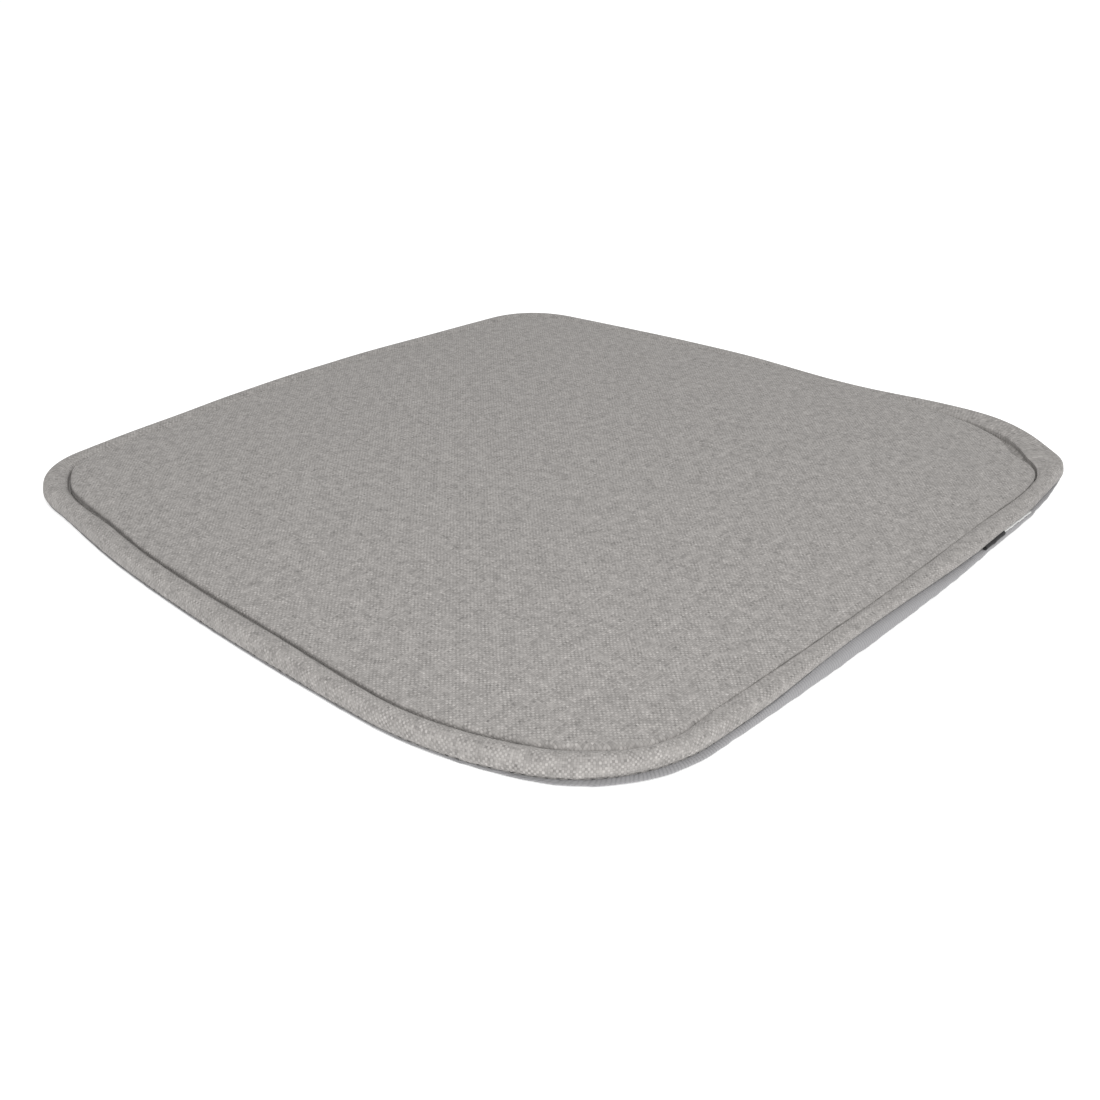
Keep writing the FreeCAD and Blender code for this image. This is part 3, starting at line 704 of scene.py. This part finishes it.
def woven(name, warp_tone, weft_tone, pitch=1.08 * MM):
    """Plain-woven melange: light yarns one way and darker ones the other, each yarn changing its
    shade slowly along its length and every float a little from its neighbours; the hollows between
    the yarns carry painted shade."""
    material, nodes, links, shader = new_material(name)
    n = Nodes(nodes, links)
    place, along, across = weave_place(nodes, links)
    sway = n.swing(n.noise(place, 120.0, 1.0), 1.1)
    u = n.plus(n.math("DIVIDE", along, pitch), sway)
    v = n.plus(n.math("DIVIDE", across, pitch), n.times(sway, -0.7))
    yarn, pick = n.math("FLOOR", u), n.math("FLOOR", v)
    odd = n.math("FLOORED_MODULO", n.plus(yarn, pick), 2.0)
    sign = n.math("SUBTRACT", 1.0, n.times(odd, 2.0))
    round_u, round_v = n.half_wave(n.math("FRACT", u)), n.half_wave(n.math("FRACT", v))
    warp = n.plus(n.times(n.math("POWER", round_u, 0.7), 0.55), n.times(n.times(round_v, sign), 0.45))
    weft = n.math("SUBTRACT", n.times(n.math("POWER", round_v, 0.7), 0.55),
                  n.times(n.times(round_u, sign), 0.45))
    height = n.math("SMOOTH_MAX", warp, weft, 0.12)
    warp_on_top = n.math("GREATER_THAN", warp, weft)

    # Each yarn takes its own line through the noise: the factors by yarn and pick keep them apart.
    along_warp = n.noise(n.combine(n.times(yarn, 7.31), n.times(v, 0.16)), 1.0, 3.0, 0.75)
    along_weft = n.noise(n.combine(n.times(u, 0.16), n.times(pick, 5.17), 4.0), 1.0, 3.0, 0.75)
    slub = n.number_mix(warp_on_top, along_weft, along_warp)
    float_shade = n.noise(n.combine(n.times(yarn, 3.7), n.times(pick, 3.3), 9.0), 1.0, 0.0)
    fibres = n.noise(n.combine(n.times(u, 3.0), n.times(v, 3.0)), 1.6, 3.0, 0.75)
    mottle = n.noise(place, 190.0, 2.0, 0.6)
    shade = n.plus(n.swing(slub, 2.6), n.swing(float_shade, 0.6))
    shade = n.plus(n.plus(shade, n.swing(fibres, 0.5)), n.swing(mottle, 0.9))
    tone = n.plus(1.0, n.times(shade, 0.62))
    # Painted shade: the low parts of the weave, between the yarns, are darkened.
    pit_shade = n.math("SUBTRACT", 1.0, n.times(n.math("SUBTRACT", 0.8, height), 0.20))
    tone = n.times(tone, pit_shade)
    yarn_tone = n.mix(warp_on_top, (*weft_tone, 1), (*warp_tone, 1))
    links.new(n.mix(1.0, yarn_tone, n.combine(tone, tone, tone), "MULTIPLY"), shader.inputs["Base Color"])
    finish_cloth(shader, 0.92, 0.04)
    shader.inputs["Sheen Roughness"].default_value = 0.5
    add_bump(nodes, links, shader, n.plus(height, n.times(fibres, 0.35)), 0.40, 0.30 * MM)
    return material


def grained(name, colour, roughness, grain, contrast=0.25, depth=0.05 * MM, rib=None, metallic=0.0,
            sheen=0.0):
    """A colour broken up by fine grain, given in grains per metre along each axis, with bump to
    match; rib adds ribs of that pitch across X, with painted shade in their troughs."""
    material, nodes, links, shader = new_material(name)
    n = Nodes(nodes, links)
    split = nodes.new("ShaderNodeSeparateXYZ")
    links.new(nodes.new("ShaderNodeTexCoord").outputs["Object"], split.inputs[0])
    stretched = n.combine(*(n.times(axis, size) for axis, size in zip(split.outputs, grain)))
    fibres = n.noise(stretched, 1.0, 3.0, 0.65)
    shade = n.math("SUBTRACT", fibres, 0.5)
    height = fibres
    if rib:
        wave = n.math("ABSOLUTE", n.math("SINE", n.times(split.outputs[0], math.pi / rib)))
        # Painted shade: the troughs between the ribs are darker and the rib crowns lighter.
        shade = n.plus(shade, n.times(n.math("SUBTRACT", wave, 0.6), 0.5))
        height = n.plus(wave, n.times(fibres, 0.4))
    tone = n.plus(1.0, n.times(shade, 2 * contrast))
    links.new(n.mix(1.0, (*colour, 1), n.combine(tone, tone, tone), "MULTIPLY"), shader.inputs["Base Color"])
    links.new(n.plus(roughness - 0.1, n.times(fibres, 0.2)), shader.inputs["Roughness"])
    shader.inputs["Metallic"].default_value = metallic
    shader.inputs["Sheen Weight"].default_value = sheen
    add_bump(nodes, links, shader, height, 0.6, depth)
    return material


def base_weave():
    """The underside's cloth: fine ribs running front to back, a little bluer than the top, and painted
    shade in the troughs between the ribs.
    """
    material, nodes, links, shader = new_material("ribbed")
    n = Nodes(nodes, links)
    place, along, across = weave_place(nodes, links)
    u = n.plus(n.math("DIVIDE", along, 1.5 * MM), n.swing(n.noise(place, 200.0, 1.0), 0.7))
    v = n.math("DIVIDE", across, 0.62 * MM)
    rib = n.math("ABSOLUTE", n.half_wave(u))
    knots = n.math("SINE", n.times(n.plus(v, n.times(n.math("FLOOR", u), 0.5)), 2 * math.pi))
    height = n.plus(n.math("POWER", rib, 0.6), n.times(knots, 0.12))
    fibres = n.noise(n.combine(n.times(u, 2.2), n.times(v, 0.8)), 1.5, 3.0, 0.7)
    # The fibres vary the tone at random; the rib term is painted shade, darker in the troughs between the
    # ribs and lighter on their crowns.
    shade = n.plus(n.swing(fibres, 0.8), n.times(n.math("POWER", rib, 0.8), 0.8))
    colour = n.ramp(shade, [(0.1, (0.238, 0.235, 0.240)), (0.5, (0.280, 0.277, 0.283)),
                            (0.95, (0.318, 0.314, 0.321))])
    links.new(colour, shader.inputs["Base Color"])
    finish_cloth(shader, 0.9, 0.15)
    add_bump(nodes, links, shader, height, 0.4, 0.3 * MM)
    return material


# ---------------------------------------------------------------- assembly
def placed(piece, material, node):
    """The piece in its material, riding on the pad in place of its CAD node."""
    piece.data.materials.append(material)
    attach(piece, "pad")
    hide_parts(node)
    return piece


melange = woven("melange", (0.338, 0.323, 0.310), (0.276, 0.263, 0.252))
ribbed = base_weave()
filling = grained("filling", (0.86, 0.86, 0.84), 0.9, (900, 900, 2200), 0.2, 0.3 * MM, sheen=0.1)
foam = grained("foam", (0.80, 0.77, 0.66), 0.88, (1600, 1600, 1600), 0.35, 0.25 * MM)
placed(centre_cloth(), melange, "top_panel")
placed(border_cloth(), melange, "border_band")
base = placed(base_cloth(), ribbed, "bottom_panel")
placed(foam_pad(), foam, "foam_core")
placed(rim_filling(), filling, "edge_wadding")
placed(centre_filling(), filling, "centre_wadding")
thread = grained("thread", (0.30, 0.29, 0.28), 0.7, (2600, 2600, 2600), 0.35, 0.08 * MM)
placed(groove_stitches(), thread, "groove_seam_thread")
placed(lower_stitches(), thread, "lower_seam_thread")
tape = grained("zip_tape", (0.33, 0.32, 0.31), 0.8, (1800, 900, 900), 0.25, 0.08 * MM, 0.55 * MM)
placed(zip_tape("zip_tape_above", "zip_tape_upper"), tape, "zip_tape_upper")
placed(zip_tape("zip_tape_below", "zip_tape_lower"), tape, "zip_tape_lower")
coil = grained("zip_coil", (0.30, 0.29, 0.28), 0.4, (700, 700, 700), 0.15, 0.02 * MM)
placed(zip_coil("zip_coil_above", "zip_coil_upper"), coil, "zip_coil_upper")
placed(zip_coil("zip_coil_below", "zip_coil_lower"), coil, "zip_coil_lower")
placed(folded_strip("black_tag", 70.5 * MM, 91.2 * MM, out=1.45 * MM, tail=3.0 * MM, thickness=1.0 * MM,
                    droop=0.12 * MM, stand=0.45 * MM),
       grained("black_tape", (0.012, 0.012, 0.013), 0.75, (2500, 900, 900), 0.4, 0.08 * MM, 0.7 * MM),
       "name_tag")
placed(folded_strip("satin_label", 92.5 * MM, 128 * MM, out=0.85 * MM, tail=2.5 * MM,
                    thickness=0.26 * MM, droop=0.10 * MM, stand=0.12 * MM),
       grained("label_satin", (0.62, 0.62, 0.61), 0.45, (3000, 500, 500), 0.1, 0.03 * MM, 0.4 * MM,
               sheen=0.2), "care_label")
metal = grained("zip_metal", (0.42, 0.42, 0.43), 0.35, (300, 4000, 1500), 0.12, 0.01 * MM, metallic=1.0)
for node in ("zip_slider", "zip_stop_open_end", "zip_stop_closed_end"):
    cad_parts[node].data.materials.clear()
    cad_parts[node].data.materials.append(metal)


# ---------------------------------------------------------------- floor, light, camera
def make_floor():
    """A wide white floor, a hair under the pad."""
    size = 40.0
    piece = make_mesh("floor", [(-size, -size, 0), (size, -size, 0), (size, size, 0), (-size, size, 0)],
                      [(0, 1, 2, 3)])
    piece.location.z = -0.2 * MM
    material, _, _, shader = new_material("floor_white")
    shader.inputs["Base Color"].default_value = (0.93, 0.93, 0.93, 1)
    shader.inputs["Roughness"].default_value = 0.95
    shader.inputs["Emission Color"].default_value = (1, 1, 1, 1)
    shader.inputs["Emission Strength"].default_value = 0.34
    piece.data.materials.append(material)


def area_light(name, place, target, size, power):
    data = bpy.data.lights.new(name, "AREA")
    data.shape, data.size, data.energy = "DISK", size, power
    lamp = link(name, data)
    lamp.location = place
    lamp.rotation_euler = (Vector(target) - Vector(place)).to_track_quat("-Z", "Y").to_euler()


def make_light():
    world = bpy.data.worlds.new("studio")
    bpy.context.scene.world = world
    world.use_nodes = True
    background = world.node_tree.nodes["Background"]
    background.inputs[0].default_value = (1.0, 1.0, 1.0, 1)
    background.inputs[1].default_value = 0.75
    area_light("key", (-0.75, -0.85, 0.95), (0, 0, 0), 0.6, 11.2)
    area_light("fill", (1.1, 0.2, 0.75), (0.1, 0, 0), 0.8, 0.8)
    bpy.context.scene.view_settings.view_transform = "Standard"


CAMERA_PLACE = Vector((-0.5142, -0.4556, 0.3054))
CAMERA_TARGET = Vector((-0.0644, -0.0548, -0.0009))
SENSOR, LENS = 36.0, 44.26


def make_camera():
    data = bpy.data.cameras.new("camera")
    data.sensor_width, data.lens = SENSOR, LENS
    data.clip_start = 0.01
    camera = link("camera", data)
    camera.location = CAMERA_PLACE
    camera.rotation_euler = (CAMERA_TARGET - CAMERA_PLACE).to_track_quat("-Z", "Y").to_euler()
    bpy.context.scene.camera = camera


make_floor()
make_light()
make_camera()
